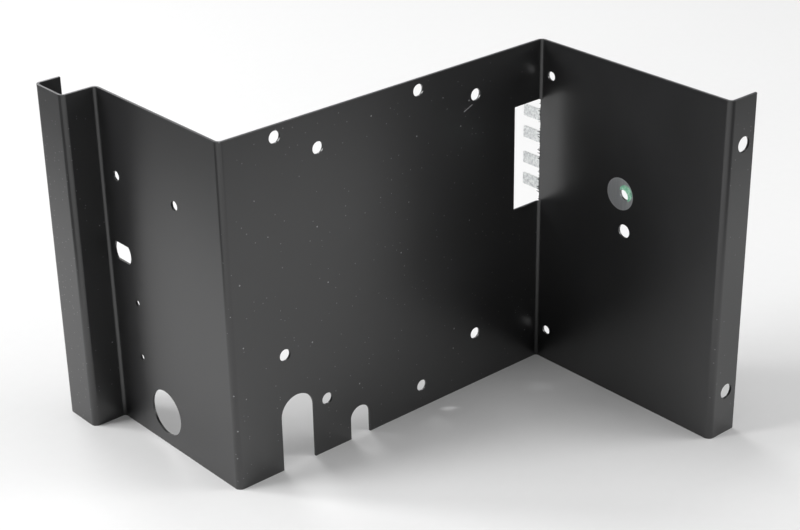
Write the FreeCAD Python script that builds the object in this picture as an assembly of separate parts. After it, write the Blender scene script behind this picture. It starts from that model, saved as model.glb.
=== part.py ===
"""Sheet metal chassis: one powder-coated sheet with six square bends, standing on its folded edge.

The sheet is described by the line of its display side, seen from above. The line starts at the free edge of the
return lip and runs lip, channel floor, channel side, end wall, back wall, side wall, front flange. The metal lies
on the left of that line. Holes are placed on a wall by their distance from the corner that the wall starts at and
by their height above the standing edge.
"""
import FreeCAD, Part
import os
from math import cos, pi, sin

V = FreeCAD.Vector

# Sheet and folds
sheet_thickness = 0.8
inner_bend_radius = 1.2
chassis_height = 120.0

# Walls, measured on the display side between the sharp corners
lip_depth = 9.2
channel_width = 16.0
channel_side_depth = 12.5
end_wall_width = 65.3
back_wall_width = 133.8
side_wall_width = 81.2
front_flange_width = 12.0

# Back wall: four equipment holes on a rectangle
equipment_hole_diameter = 4.2
equipment_first_column = 37.1
equipment_column_spacing = 66.4
equipment_low_row = 19.6
equipment_row_spacing = 88.5

# Back wall: four panel holes, level at the top and stepped at the bottom
panel_hole_diameter = 4.2
panel_first_column = 20.8
panel_column_spacing = 57.6
panel_top_row = 116.1
panel_first_low_hole = 41.8
panel_second_low_hole = 8.4

# Back wall: cable notches, open at the standing edge
wide_notch_centre = 24.8
wide_notch_width = 13.2
wide_notch_height = 26.0
narrow_notch_centre = 50.8
narrow_notch_width = 8.2
narrow_notch_height = 11.5

# Back wall: contact window at the fold, with the fingers that stay in line with the side wall
window_width = 12.2
window_height = 37.9
window_centre_height = 79.85
finger_height = 4.0
finger_reach = 8.0
finger_pair_pitch = 8.0
finger_pair_spacing = 17.5

# End wall
end_screw_hole_diameter = 3.4
end_screw_hole_height = 91.7
end_first_screw_column = 7.7
end_screw_column_spacing = 32.3
grommet_hole_diameter = 9.6
grommet_hole_flats = 6.3
grommet_column = 7.6
grommet_height = 64.4
pilot_hole_diameter = 2.2
pilot_column = 13.9
pilot_low_height = 28.1
pilot_spacing = 20.2
conduit_hole_diameter = 16.3
conduit_column = 26.0
conduit_height = 12.0

# Side wall
corner_hole_diameter = 3.3
corner_hole_column = 4.8
corner_low_height = 11.7
corner_hole_spacing = 96.3
ground_hole_diameter = 4.8
ground_hole_column = 39.8
ground_low_height = 62.6
ground_hole_spacing = 13.7

# Front flange
flange_hole_diameter = 5.3
flange_hole_column = 7.2
flange_low_height = 16.0
flange_hole_spacing = 88.1

outer_bend_radius = inner_bend_radius + sheet_thickness


# Profile corners on the display side, before the part is moved to its origin
def profile_corners():
    """Corner points of the display side and the heading of each wall, from the lip to the front flange."""
    away, toward, right, left = V(0, 1, 0), V(0, -1, 0), V(1, 0, 0), V(-1, 0, 0)
    walls = [
        ("lip", left, lip_depth),
        ("channel floor", toward, channel_width),
        ("channel side", right, channel_side_depth),
        ("end wall", toward, end_wall_width),
        ("back wall", right, back_wall_width),
        ("side wall", toward, side_wall_width),
        ("front flange", right, front_flange_width),
    ]
    corners = [V(lip_depth, 0, 0)]
    for _, heading, length in walls:
        corners.append(corners[-1] + heading * length)
    return walls, corners


def metal_side(heading):
    """Direction from the display side of a wall into its metal."""
    return V(-heading.y, heading.x, 0)


def rounded_run(points, radii):
    """Edges along points, with an arc of the given radius at each inner point."""
    edges = []
    start = points[0]
    for before, corner, after, radius in zip(points, points[1:], points[2:], radii):
        arrive = (corner - before).normalize()
        leave = (after - corner).normalize()
        arc_start = corner - arrive * radius
        arc_end = corner + leave * radius
        arc_middle = corner + (leave - arrive) * (radius * (1 - cos(pi / 4)))
        edges.append(Part.LineSegment(start, arc_start).toShape())
        edges.append(Part.Arc(arc_start, arc_middle, arc_end).toShape())
        start = arc_end
    edges.append(Part.LineSegment(start, points[-1]).toShape())
    return edges


def folded_sheet(walls, corners):
    """The sheet with all its bends, as a profile raised to the chassis height."""
    headings = [heading for _, heading, _ in walls]
    far_corners = [corners[0] + metal_side(headings[0]) * sheet_thickness]
    near_radii, far_radii = [], []
    for corner, arrive, leave in zip(corners[1:], headings, headings[1:]):
        far_corners.append(corner + (metal_side(arrive) + metal_side(leave)) * sheet_thickness)
        turns_into_metal = leave.dot(metal_side(arrive)) > 0
        near_radii.append(outer_bend_radius if turns_into_metal else inner_bend_radius)
        far_radii.append(inner_bend_radius if turns_into_metal else outer_bend_radius)
    far_corners.append(corners[-1] + metal_side(headings[-1]) * sheet_thickness)
    near_side = rounded_run(corners, near_radii)
    far_side = rounded_run(far_corners, far_radii)
    ends = [
        Part.LineSegment(corners[0], far_corners[0]).toShape(),
        Part.LineSegment(corners[-1], far_corners[-1]).toShape(),
    ]
    outline = Part.Wire(Part.__sortEdges__(near_side + far_side + ends))
    return Part.Face(outline).extrude(V(0, 0, chassis_height))


class Wall:
    """A flat wall of the sheet, with cutters placed by column and height on its display side."""

    def __init__(self, corner, heading):
        self.corner = corner
        self.along = heading
        self.inward = metal_side(heading)

    def point(self, column, height, depth=0.0):
        return self.corner + self.along * column + V(0, 0, height) + self.inward * depth

    def hole(self, column, height, diameter):
        """Round punch through the wall."""
        start = self.point(column, height, -sheet_thickness)
        return Part.makeCylinder(diameter / 2, 3 * sheet_thickness, start, self.inward)

    def slab(self, column, height, width, tall, depth_start, depth_end):
        """Box on the wall between two columns, two heights and two depths."""
        first = self.point(column, height, depth_start)
        last = self.point(column + width, height + tall, depth_end)
        box = FreeCAD.BoundBox(first, last)
        return Part.makeBox(box.XLength, box.YLength, box.ZLength, V(box.XMin, box.YMin, box.ZMin))

    def punch(self, column, height, width, tall):
        """Rectangular punch through the wall."""
        return self.slab(column, height, width, tall, -sheet_thickness, 2 * sheet_thickness)


def back_wall_cutters(wall):
    """Equipment and panel holes and the two cable notches."""
    cutters = []
    for column in (0, 1):
        for row in (0, 1):
            across = equipment_first_column + column * equipment_column_spacing
            up = equipment_low_row + row * equipment_row_spacing
            cutters.append(wall.hole(across, up, equipment_hole_diameter))
    for column, low_hole in ((0, panel_first_low_hole), (1, panel_second_low_hole)):
        across = panel_first_column + column * panel_column_spacing
        cutters.append(wall.hole(across, panel_top_row, panel_hole_diameter))
        cutters.append(wall.hole(across, low_hole, panel_hole_diameter))
    for centre, width, tall in (
        (wide_notch_centre, wide_notch_width, wide_notch_height),
        (narrow_notch_centre, narrow_notch_width, narrow_notch_height),
    ):
        straight = tall - width / 2
        cutters.append(wall.hole(centre, straight, width))
        cutters.append(wall.punch(centre - width / 2, -sheet_thickness, width, straight + sheet_thickness))
    return cutters


def end_wall_cutters(wall):
    """Screw holes, the grommet hole with two flats, pilot holes and the conduit hole."""
    cutters = []
    for column in (0, 1):
        across = end_first_screw_column + column * end_screw_column_spacing
        cutters.append(wall.hole(across, end_screw_hole_height, end_screw_hole_diameter))
    round_punch = wall.hole(grommet_column, grommet_height, grommet_hole_diameter)
    flat_punch = wall.punch(
        grommet_column - grommet_hole_diameter,
        grommet_height - grommet_hole_flats / 2,
        2 * grommet_hole_diameter,
        grommet_hole_flats,
    )
    cutters.append(round_punch.common(flat_punch))
    for step in (0, 1):
        up = pilot_low_height + step * pilot_spacing
        cutters.append(wall.hole(pilot_column, up, pilot_hole_diameter))
    cutters.append(wall.hole(conduit_column, conduit_height, conduit_hole_diameter))
    return cutters


def side_wall_cutters(wall):
    """Two holes beside the fold and the pair of ground screw holes."""
    cutters = []
    for step in (0, 1):
        corner_up = corner_low_height + step * corner_hole_spacing
        cutters.append(wall.hole(corner_hole_column, corner_up, corner_hole_diameter))
        ground_up = ground_low_height + step * ground_hole_spacing
        cutters.append(wall.hole(ground_hole_column, ground_up, ground_hole_diameter))
    return cutters


def flange_cutters(wall):
    """Mounting holes of the front flange."""
    heights = [flange_low_height + step * flange_hole_spacing for step in (0, 1)]
    return [wall.hole(flange_hole_column, up, flange_hole_diameter) for up in heights]


def window_cutter(back_wall):
    """Window in the back wall that also takes the bend away over its height."""
    low = window_centre_height - window_height / 2
    start = back_wall_width - window_width
    across = window_width + sheet_thickness
    return back_wall.slab(start, low, across, window_height, -inner_bend_radius, 2 * sheet_thickness)


def contact_fingers(side_wall):
    """Flat edge strip of the side wall in the window and its four contact fingers."""
    low = window_centre_height - window_height / 2
    strip = side_wall.slab(0, low, inner_bend_radius, window_height, 0, sheet_thickness)
    fingers = [strip]
    for pair in (-1, 1):
        for member in (-1, 1):
            middle = window_centre_height + pair * finger_pair_spacing / 2 + member * finger_pair_pitch / 2
            bottom = middle - finger_height / 2
            fingers.append(
                side_wall.slab(-finger_reach, bottom, finger_reach, finger_height, 0, sheet_thickness)
            )
    return fingers


def build_chassis():
    walls, corners = profile_corners()
    named = {name: Wall(corner, heading) for (name, heading, _), corner in zip(walls, corners)}
    cutters = [
        *back_wall_cutters(named["back wall"]),
        *end_wall_cutters(named["end wall"]),
        *side_wall_cutters(named["side wall"]),
        *flange_cutters(named["front flange"]),
        window_cutter(named["back wall"]),
    ]
    chassis = folded_sheet(walls, corners).cut(cutters)
    chassis = chassis.fuse(contact_fingers(named["side wall"])).removeSplitter()
    box = chassis.BoundBox
    chassis.translate(V(-box.Center.x, -box.Center.y, -box.ZMin))
    return chassis.Solids[0] if len(chassis.Solids) == 1 else chassis


os.makedirs("parts", exist_ok=True)
chassis = build_chassis()
chassis.exportStep("parts/chassis.step")
size = chassis.BoundBox
print(f"chassis {size.XLength:.1f} x {size.YLength:.1f} x {size.ZLength:.1f} mm, {len(chassis.Solids)} solid, "
      f"valid {chassis.isValid()}, volume {chassis.Volume:.0f} mm3")
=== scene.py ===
import bpy, bmesh, math
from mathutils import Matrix, Quaternion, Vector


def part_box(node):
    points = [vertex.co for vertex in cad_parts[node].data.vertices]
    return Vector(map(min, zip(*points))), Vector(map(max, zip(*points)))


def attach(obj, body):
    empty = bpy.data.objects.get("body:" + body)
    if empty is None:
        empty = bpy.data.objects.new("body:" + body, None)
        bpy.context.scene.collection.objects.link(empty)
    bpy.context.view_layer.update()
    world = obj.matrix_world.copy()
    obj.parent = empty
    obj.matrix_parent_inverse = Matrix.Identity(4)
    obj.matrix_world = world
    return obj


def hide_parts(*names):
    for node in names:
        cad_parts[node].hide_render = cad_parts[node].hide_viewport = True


mm = 0.001

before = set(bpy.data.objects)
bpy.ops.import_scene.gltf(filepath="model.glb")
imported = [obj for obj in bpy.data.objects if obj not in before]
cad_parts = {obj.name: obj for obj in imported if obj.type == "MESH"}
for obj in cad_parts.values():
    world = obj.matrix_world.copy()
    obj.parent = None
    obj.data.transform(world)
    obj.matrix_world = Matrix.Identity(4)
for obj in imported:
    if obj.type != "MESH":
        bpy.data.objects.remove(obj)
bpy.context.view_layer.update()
scene = bpy.context.scene
print("frame loaded")


# the walls, read from the frame's own box
low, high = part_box("chassis")
sheet = {
    "backWallFace": -0.05 * mm,     # y of the back wall's display side
    "endWallFace": low.x + 12.5 * mm,
    "sideWallFace": high.x - 12.0 * mm,
    "coatRounding": 0.16 * mm,
}
window = {"low": 60.9 * mm, "high": 98.8 * mm}
groundSpot = {
    "y": sheet["backWallFace"] - 37.5 * mm,
    "z": 75.5 * mm,
    "radius": 5.65 * mm,
    "holeY": sheet["backWallFace"] - 39.8 * mm,
    "holeZ": 76.3 * mm,
}


# one shader value, so that the maths below reads as arithmetic
class Value:
    def __init__(self, shader, socket):
        self.shader = shader
        self.socket = socket

    def calc(self, operation, first, second=None):
        inputs = {0: first} if second is None else {0: first, 1: second}
        return self.shader.add("ShaderNodeMath", {"operation": operation}, inputs)

    def __add__(self, other):
        return self.calc("ADD", self, other)

    def __radd__(self, other):
        return self.calc("ADD", other, self)

    def __sub__(self, other):
        return self.calc("SUBTRACT", self, other)

    def __rsub__(self, other):
        return self.calc("SUBTRACT", other, self)

    def __mul__(self, other):
        return self.calc("MULTIPLY", self, other)

    def __rmul__(self, other):
        return self.calc("MULTIPLY", other, self)

    def __gt__(self, other):
        return self.calc("GREATER_THAN", self, other)

    def __lt__(self, other):
        return self.calc("LESS_THAN", self, other)

    def __abs__(self):
        return self.calc("ABSOLUTE", self)

    def root(self):
        return self.calc("SQRT", self)


class Shader:
    def __init__(self, name):
        self.material = bpy.data.materials.new(name)
        self.material.use_nodes = True
        self.tree = self.material.node_tree
        self.surface = self.tree.nodes["Principled BSDF"]
        self.place = self.add("ShaderNodeTexCoord", {}, {}, "Object")

    def add(self, kind, settings=None, inputs=None, output=0):
        node = self.tree.nodes.new(kind)
        for name, value in (settings or {}).items():
            setattr(node, name, value)
        for name, value in (inputs or {}).items():
            self.feed(node.inputs[name], value)
        return Value(self, node.outputs[output])

    def feed(self, socket, value):
        if isinstance(value, Value):
            self.tree.links.new(value.socket, socket)
        else:
            socket.default_value = value

    def axes(self):
        split = self.add("ShaderNodeSeparateXYZ", {}, {0: self.place}).socket.node
        return [Value(self, split.outputs[i]) for i in range(3)]

    def ramp(self, value, start, end, low=0.0, high=1.0):
        inputs = {"Value": value, "From Min": start, "From Max": end, "To Min": low, "To Max": high}
        return self.add("ShaderNodeMapRange", {"clamp": True}, inputs)

    def noise(self, scale, detail=2.0, rough=0.5, place=None):
        place = place or self.place
        inputs = {"Vector": place, "Scale": scale, "Detail": detail, "Roughness": rough}
        return self.add("ShaderNodeTexNoise", {}, inputs)

    def stretched(self, x, y, z):
        return self.add("ShaderNodeMapping", {}, {"Vector": self.place, "Scale": (x, y, z)})

    def blend(self, factor, first, second):
        mix = self.tree.nodes.new("ShaderNodeMix")
        mix.data_type = "RGBA"
        for index, value in ((0, factor), (6, first), (7, second)):
            self.feed(mix.inputs[index], value)
        return Value(self, mix.outputs[2])

    def finish(self, **sockets):
        for name, value in sockets.items():
            self.feed(self.surface.inputs[name.replace("_", " ")], value)
        return self.material


# satin black powder coat, with bare metal where the masking was
coat = {
    "black": (0.005, 0.005, 0.0055, 1.0),
    "wornBlack": (0.0085, 0.0085, 0.0095, 1.0),
    # edge: painted highlight colour for the top cut edges
    "edge": (0.09, 0.09, 0.094, 1.0),
    "dust": (0.42, 0.42, 0.43, 1.0),
    "metal": (0.80, 0.82, 0.81, 1.0),
    "dullMetal": (0.46, 0.475, 0.49, 1.0),
    "roughness": 0.28,
    "gloss": 0.95,
    "grain": 1500.0,        # noise scales, from the finest down
    "mottle": 1300.0,
    "ragged": 900.0,
    "peel": 420.0,
    "brushed": 300.0,
    "wipe": 60.0,
    "smudge": 28.0,
    "bump": 0.012 * mm,
    "highlightBand": 0.10 * mm,  # how far down the paler cut edge reaches
}
scratch = {
    "x": sheet["endWallFace"] + 98.3 * mm,
    "z": 103.5 * mm,
    "run": 3.6 * mm,
    "rise": 1.5 * mm,
    "length": 3.9 * mm,
    "width": 0.16 * mm,
}
dust = {
    "coarse": {"scale": 260.0, "radius": 0.05, "share": 0.8},
    "fine": {"scale": 620.0, "radius": 0.09, "share": 0.78},
}


# dots in the few Voronoi cells whose colour is picked
def dustDots(s, scale, radius, share):
    cell = s.add("ShaderNodeTexVoronoi", {"feature": "F1"}, {"Vector": s.place, "Scale": scale})
    cellColour = Value(s, cell.socket.node.outputs["Color"])
    pick = s.add("ShaderNodeSeparateColor", {}, {0: cellColour})
    return (cell < radius * (0.5 + pick)) * (pick > share)


def makeCoat():
    s = Shader("satinBlackCoat")
    x, y, z = s.axes()
    grain = s.noise(coat["grain"], 3.0, 0.6)
    peel = s.noise(coat["peel"], 1.0, 0.5)
    smudge = s.noise(coat["smudge"], 4.0, 0.6)
    wipe = s.noise(coat["wipe"], 3.0, 0.6, s.stretched(1.0, 1.0, 0.12))

    speck = dustDots(s, **dust["coarse"])
    fineSpeck = dustDots(s, **dust["fine"])

    # one short scratch on the back wall, beside the upper equipment hole
    alongX, alongZ = x - scratch["x"], z - scratch["z"]
    reach = s.ramp(alongX * scratch["run"] + alongZ * scratch["rise"], 0.0, scratch["length"] ** 2)
    offX, offZ = alongX - reach * scratch["run"], alongZ - reach * scratch["rise"]
    onBackWall = abs(y - sheet["backWallFace"]) < 0.1 * mm
    nick = ((offX * offX + offZ * offZ).root() < scratch["width"] * (0.3 + grain)) * onBackWall

    # bare metal: the fingers behind the window's fold, with a ragged coat edge
    ragged = s.noise(coat["ragged"], 3.0, 0.7) - 0.5
    faceY, faceX = sheet["backWallFace"], sheet["sideWallFace"]
    pastFold = s.ramp(y + ragged * (1.2 * mm), faceY + 0.15 * mm, faceY + 0.25 * mm)
    inHeight = (z > window["low"] + 0.4 * mm) * (z < window["high"] - 0.4 * mm)
    fingers = pastFold * (inHeight * (x > faceX - 0.1 * mm))

    # bare metal: the round ground spot on the display side of the side wall
    dy, dz = y - groundSpot["y"], z - groundSpot["z"]
    away = (dy * dy + dz * dz).root() + ragged * (0.12 * mm)
    onFace = (x > faceX - 0.3 * mm) * (x < faceX + 0.1 * mm)
    radius = groundSpot["radius"]
    spot = s.ramp(away, radius - 0.04 * mm, radius + 0.04 * mm, 1.0, 0.0) * onFace
    rim = s.ramp(away, radius - 0.5 * mm, radius - 0.1 * mm) * spot
    bare = fingers + spot - fingers * spot

    # painted highlight: the top cut edges are made paler, standing in for the light they catch from
    # above
    mottle = s.noise(coat["mottle"], 3.0, 0.7)
    paintedEdgeHighlight = s.ramp(z, high.z - coat["highlightBand"], high.z - 0.3 * coat["highlightBand"])

    # colours, from the coat up to what lies on it, then the metal
    brushed = s.noise(coat["brushed"], 3.0, 0.65, s.stretched(1.0, 6.0, 0.4))
    black = s.blend(s.ramp(smudge, 0.35, 0.75), coat["black"], coat["wornBlack"])
    black = s.blend(speck * 0.7 + fineSpeck * 0.3 * (1 - speck), black, coat["dust"])
    black = s.blend(nick * 0.8, black, coat["dust"])
    # painted highlight along the top cut edges
    black = s.blend(paintedEdgeHighlight * (0.7 + mottle * 0.4), black, coat["edge"])
    spotShine = s.ramp(brushed, 0.3, 0.8) * 0.35 + rim * 0.2
    spotMetal = s.blend(spotShine, coat["dullMetal"], coat["metal"])
    fingerShine = s.ramp(mottle, 0.35, 0.62)
    fingerMetal = s.blend(fingerShine, coat["dullMetal"], coat["metal"])
    metal = s.blend(spot, fingerMetal, spotMetal)
    height = grain * 0.5 + peel * 0.9 - bare * 2.0
    bumpInputs = {"Strength": 0.35, "Distance": coat["bump"], "Height": height}
    coatBump = s.add("ShaderNodeBump", {}, bumpInputs)
    roughness = coat["roughness"] + smudge * 0.05 + wipe * 0.04 + speck * 0.3
    return s.finish(
        Base_Color=s.blend(bare, black, metal),
        Metallic=spot * 0.85 + fingers * 0.25,
        Specular_IOR_Level=coat["gloss"],
        Roughness=roughness * (1 - bare) + (0.42 + brushed * 0.15) * bare,
        Normal=coatBump,
    )


# the chassis piece: the frame's sheet with the rounding that the coat gives its cut edges
def makeChassis(material):
    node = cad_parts["chassis"]
    mesh = node.data.copy()
    mesh.name = "foldedSheet"
    body = bmesh.new()
    body.from_mesh(mesh)
    bmesh.ops.remove_doubles(body, verts=body.verts, dist=1e-6)
    flat = math.radians(0.5)
    bmesh.ops.dissolve_limit(body, angle_limit=flat, verts=body.verts, edges=body.edges)
    for face in body.faces:
        face.smooth = True
    body.to_mesh(mesh)
    body.free()
    mesh.materials.clear()
    mesh.materials.append(material)
    piece = bpy.data.objects.new("foldedSheet", mesh)
    scene.collection.objects.link(piece)
    bevel = piece.modifiers.new("coatRounding", "BEVEL")
    bevel.width = sheet["coatRounding"]
    bevel.segments = 2
    bevel.limit_method = "ANGLE"
    bevel.angle_limit = math.radians(40)
    bevel.use_clamp_overlap = True
    even = piece.modifiers.new("evenNormals", "WEIGHTED_NORMAL")
    even.mode = "FACE_AREA"
    even.weight = 100
    even.keep_sharp = True
    return piece


coatMaterial = makeCoat()
chassis = makeChassis(coatMaterial)
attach(chassis, "root")
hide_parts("chassis")
print("folded sheet dressed")


# ragged edge of the coat where the masking on the fingers was pulled off
coatEdge = {
    "count": 40,
    "length": 1.3 * mm,
    "width": 0.42 * mm,
    "tip": 0.04 * mm,
    "seed": 7,
    "x": sheet["sideWallFace"] + 0.08 * mm,
    "y": sheet["backWallFace"] - 0.08 * mm,
    "stray": ((-0.1 * mm, -0.1 * mm, -0.45 * mm), (0.1 * mm, 0.12 * mm, 0.45 * mm)),
    "turn": ((-1.9, -0.5, -0.4), (-1.3, 0.5, 0.4)),
    "scale": ((0.35, 0.3, 0.25), (1.0, 0.9, 1.0)),
}


def makeCoatEdge():
    s = Shader("chippedCoat")
    pitted = s.noise(2200.0, 3.0, 0.6)
    bump = s.add("ShaderNodeBump", {}, {"Strength": 0.5, "Distance": 0.03 * mm, "Height": pitted})
    tint = s.blend(s.ramp(pitted, 0.4, 0.7), coat["black"], coat["wornBlack"])
    material = s.finish(Base_Color=tint, Roughness=0.35 + pitted * 0.2, Normal=bump)

    tree = bpy.data.node_groups.new("coatEdgeChips", "GeometryNodeTree")
    sizes = {
        "Count": ("NodeSocketInt", coatEdge["count"]),
        "Low": ("NodeSocketFloat", window["low"]),
        "High": ("NodeSocketFloat", window["high"]),
        "Length": ("NodeSocketFloat", coatEdge["length"]),
        "Width": ("NodeSocketFloat", coatEdge["width"]),
        "Seed": ("NodeSocketInt", coatEdge["seed"]),
    }
    sockets = {}
    for name, (kind, _) in sizes.items():
        sockets[name] = tree.interface.new_socket(name, in_out="INPUT", socket_type=kind)
    tree.interface.new_socket("Geometry", in_out="OUTPUT", socket_type="NodeSocketGeometry")
    given = tree.nodes.new("NodeGroupInput").outputs
    result = tree.nodes.new("NodeGroupOutput")

    def node(kind, links, **settings):
        made = tree.nodes.new(kind)
        for name, value in settings.items():
            setattr(made, name, value)
        for name, value in links.items():
            if isinstance(value, bpy.types.NodeSocket):
                tree.links.new(value, made.inputs[name])
            else:
                made.inputs[name].default_value = value
        return made.outputs[0]

    def scatter(span):
        links = {0: span[0], 1: span[1], "Seed": given["Seed"]}
        return node("FunctionNodeRandomValue", links, data_type="FLOAT_VECTOR")

    # a line of points down the fold, each moved a little, with a small cone of coat on it
    x, y = coatEdge["x"], coatEdge["y"]
    start = node("ShaderNodeCombineXYZ", {"X": x, "Y": y, "Z": given["Low"]})
    end = node("ShaderNodeCombineXYZ", {"X": x, "Y": y, "Z": given["High"]})
    lineLinks = {"Count": given["Count"], "Start Location": start, "Offset": end}
    line = node("GeometryNodeMeshLine", lineLinks, mode="END_POINTS")
    strayLinks = {"Geometry": line, "Offset": scatter(coatEdge["stray"])}
    moved = node("GeometryNodeSetPosition", strayLinks)
    chip = node("GeometryNodeMeshCone", {
        "Vertices": 5,
        "Side Segments": 2,
        "Radius Top": coatEdge["tip"],
        "Radius Bottom": given["Width"],
        "Depth": given["Length"],
    })
    placed = node("GeometryNodeInstanceOnPoints", {
        "Points": moved,
        "Instance": chip,
        "Rotation": scatter(coatEdge["turn"]),
        "Scale": scatter(coatEdge["scale"]),
    })
    real = node("GeometryNodeRealizeInstances", {"Geometry": placed})
    painted = node("GeometryNodeSetMaterial", {"Geometry": real, "Material": material})
    tree.links.new(painted, result.inputs[0])

    carrier = bpy.data.objects.new("coatEdgeCarrier", bpy.data.meshes.new("coatEdgeCarrier"))
    scene.collection.objects.link(carrier)
    modifier = carrier.modifiers.new("chips", "NODES")
    modifier.node_group = tree
    for name, (_, value) in sizes.items():
        modifier[sockets[name].identifier] = value
    graph = bpy.context.evaluated_depsgraph_get()
    mesh = bpy.data.meshes.new_from_object(carrier.evaluated_get(graph))
    mesh.name = "coatEdgeChips"
    carrier.modifiers.clear()
    bpy.data.objects.remove(carrier)
    piece = bpy.data.objects.new("coatEdgeChips", mesh)
    scene.collection.objects.link(piece)
    return piece


coatChips = makeCoatEdge()
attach(coatChips, "root")
print("coat edge chips made")


# shred of green masking film left over the ground hole
film = {
    "outer": 2.95 * mm,
    "inner": 0.35 * mm,
    "curl": 0.2 * mm,
    "thickness": 0.04 * mm,
    "from": -70.0,          # degrees round the hole, from its front side upwards
    "to": 165.0,
    "rings": 6,
    "steps": 26,
    "deep": (0.16, 0.68, 0.38, 1.0),
    "pale": (0.60, 0.95, 0.76, 1.0),
}


def makeFilm():
    s = Shader("greenMaskingFilm")
    crease = s.noise(1600.0, 3.0, 0.6)
    tint = s.blend(s.ramp(crease, 0.35, 0.65), film["deep"], film["pale"])
    bump = s.add("ShaderNodeBump", {}, {"Strength": 0.4, "Distance": 0.05 * mm, "Height": crease})
    material = s.finish(
        Base_Color=tint,
        Alpha=0.66 + crease * 0.22,
        Roughness=0.25 + crease * 0.1,
        Normal=bump,
    )
    mesh = bpy.data.meshes.new("maskingFilm")
    points, faces = [], []
    steps, rings = film["steps"], film["rings"]
    outer, inner = film["outer"], film["inner"]
    for ring in range(rings + 1):
        inward = ring / rings
        for step in range(steps + 1):
            angle = math.radians(film["from"] + (film["to"] - film["from"]) * step / steps)
            fade = max(0.0, math.sin(math.pi * step / steps)) ** 0.6
            tear = 1 + 0.10 * math.sin(7 * angle + 1.0) + 0.06 * math.sin(17 * angle)
            reach = outer * (0.93 + 0.07 * fade) - (outer - inner * tear) * inward * fade
            lift = film["curl"] * inward * fade * (0.7 + 0.3 * math.sin(5 * angle))
            points.append((
                sheet["sideWallFace"] - 0.03 * mm + lift,
                groundSpot["holeY"] - reach * math.cos(angle),
                groundSpot["holeZ"] + reach * math.sin(angle),
            ))
    for ring in range(rings):
        for step in range(steps):
            first = ring * (steps + 1) + step
            faces.append((first, first + 1, first + steps + 2, first + steps + 1))
    mesh.from_pydata(points, [], faces)
    mesh.materials.append(material)
    piece = bpy.data.objects.new("maskingFilm", mesh)
    scene.collection.objects.link(piece)
    solid = piece.modifiers.new("filmThickness", "SOLIDIFY")
    solid.thickness = film["thickness"]
    return piece


filmPiece = makeFilm()
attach(filmPiece, "root")
print("film made")


# floor
floorLook = {"colour": (0.86, 0.86, 0.86, 1.0), "shade": (0.83, 0.83, 0.83, 1.0), "size": 6.0}


def makeFloor():
    s = Shader("paperFloor")
    fibre = s.noise(240.0, 4.0, 0.6)
    cloud = s.noise(3.0, 3.0, 0.5)
    paper = s.ramp(fibre * 0.3 + cloud * 0.7, 0.3, 0.7)
    shade = s.blend(paper, floorLook["shade"], floorLook["colour"])
    material = s.finish(Base_Color=shade, Roughness=0.75)
    mesh = bpy.data.meshes.new("floor")
    half = floorLook["size"] / 2
    corners = [(-half, -half), (half, -half), (half, half), (-half, half)]
    mesh.from_pydata([(x, y, low.z) for x, y in corners], [], [(0, 1, 2, 3)])
    mesh.materials.append(material)
    floor = bpy.data.objects.new("floor", mesh)
    scene.collection.objects.link(floor)


makeFloor()


# dark grey cards lying on the floor, hidden from the camera, from diffuse light and from shadows,
# seen only in the gloss of the coat:
# painted shade in the reflections, with which the walls darken towards their tops
# grey: the painted shade colour that the coat reflects from the hidden cards
cardLook = {"grey": (0.10, 0.10, 0.10, 1.0), "fibre": (0.2, 0.2, 0.2, 1.0), "lift": 1 * mm}
cards = {
    "leftCard": {"low": (-1.6, 0.0), "high": (-0.19, 1.8)},
    "frontCard": {"low": (-0.05, -1.8), "high": (1.8, -0.24)},
}


def makeShadeCards():
    for name, card in cards.items():
        s = Shader(name)
        fibre = s.noise(90.0, 3.0, 0.6)
        tint = s.blend(fibre * 0.1, cardLook["grey"], cardLook["fibre"])
        material = s.finish(Base_Color=tint, Roughness=0.9)
        (x0, y0), (x1, y1) = card["low"], card["high"]
        corners = [(x0, y0), (x1, y0), (x1, y1), (x0, y1)]
        mesh = bpy.data.meshes.new(name)
        mesh.from_pydata([(x, y, low.z + cardLook["lift"]) for x, y in corners], [], [(0, 1, 2, 3)])
        mesh.materials.append(material)
        shadeCard = bpy.data.objects.new(name, mesh)
        shadeCard.visible_camera = False
        shadeCard.visible_diffuse = False
        shadeCard.visible_shadow = False
        shadeCard.visible_transmission = False
        scene.collection.objects.link(shadeCard)


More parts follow.
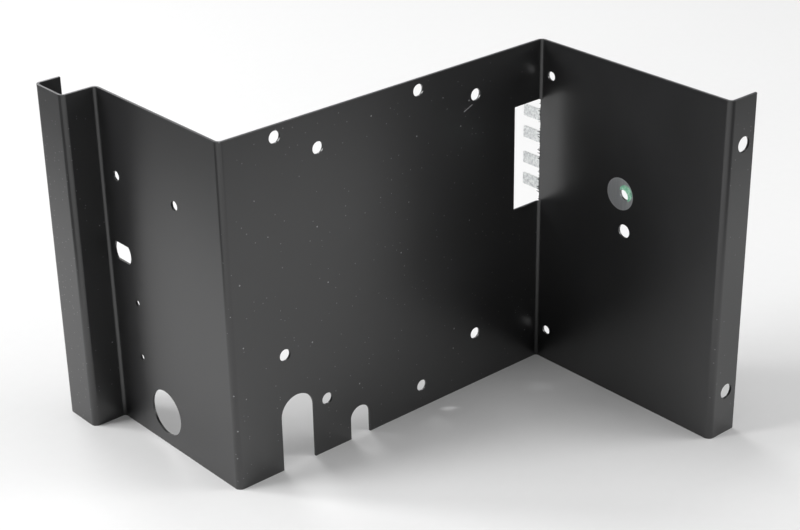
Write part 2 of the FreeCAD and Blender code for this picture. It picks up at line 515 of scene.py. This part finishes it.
makeShadeCards()
print("floor and cards laid")


# light and camera
lamps = {
    "backLeft": {"place": (-1.03, 1.30, 1.44), "size": 0.4, "power": 15.0},
    "left": {"place": (-1.6, 0.9, 0.9), "size": 0.9, "power": 28.0},
    "frontRight": {"place": (1.5, -1.3, 1.0), "size": 1.0, "power": 17.0},
    "frontLow": {"place": (0.9, -1.8, 0.4), "size": 1.0, "power": 8.5},
    "above": {"place": (0.0, 0.0, 2.2), "size": 1.5, "power": 18.0},
    "behind": {"place": (0.5, 1.9, 1.3), "size": 1.0, "power": 12.0},
}
studio = {"world": (1.0, 1.0, 1.0, 1.0), "strength": 0.05, "aim": (0.0, 0.0, 0.05)}


def makeLights():
    world = bpy.data.worlds.new("studio")
    scene.world = world
    world.use_nodes = True
    back = world.node_tree.nodes["Background"]
    back.inputs["Color"].default_value = studio["world"]
    back.inputs["Strength"].default_value = studio["strength"]
    for name, lamp in lamps.items():
        data = bpy.data.lights.new(name, "AREA")
        data.shape = "DISK"
        data.size = lamp["size"]
        data.energy = lamp["power"]
        light = bpy.data.objects.new(name, data)
        light.location = lamp["place"]
        light.rotation_mode = "QUATERNION"
        look = (Vector(studio["aim"]) - light.location).to_track_quat("-Z", "Y")
        light.rotation_quaternion = look
        scene.collection.objects.link(light)


camera = {
    "place": (-0.3478, -0.4068, 0.3198),
    "aim": (0.0012, -0.0019, 0.0586),
    "roll": -1.02,          # degrees
    "lens": 81.87,
    "sensor": 36.0,
}


def makeCamera():
    data = bpy.data.cameras.new("camera")
    data.sensor_width = camera["sensor"]
    data.lens = camera["lens"]
    data.clip_start = 0.01
    view = bpy.data.objects.new("camera", data)
    view.location = camera["place"]
    view.rotation_mode = "QUATERNION"
    look = (Vector(camera["aim"]) - Vector(camera["place"])).to_track_quat("-Z", "Y")
    view.rotation_quaternion = look @ Quaternion((0, 0, 1), math.radians(camera["roll"]))
    scene.collection.objects.link(view)
    scene.camera = view


makeLights()
makeCamera()
scene.view_settings.view_transform = "Standard"
print("lights and camera placed")
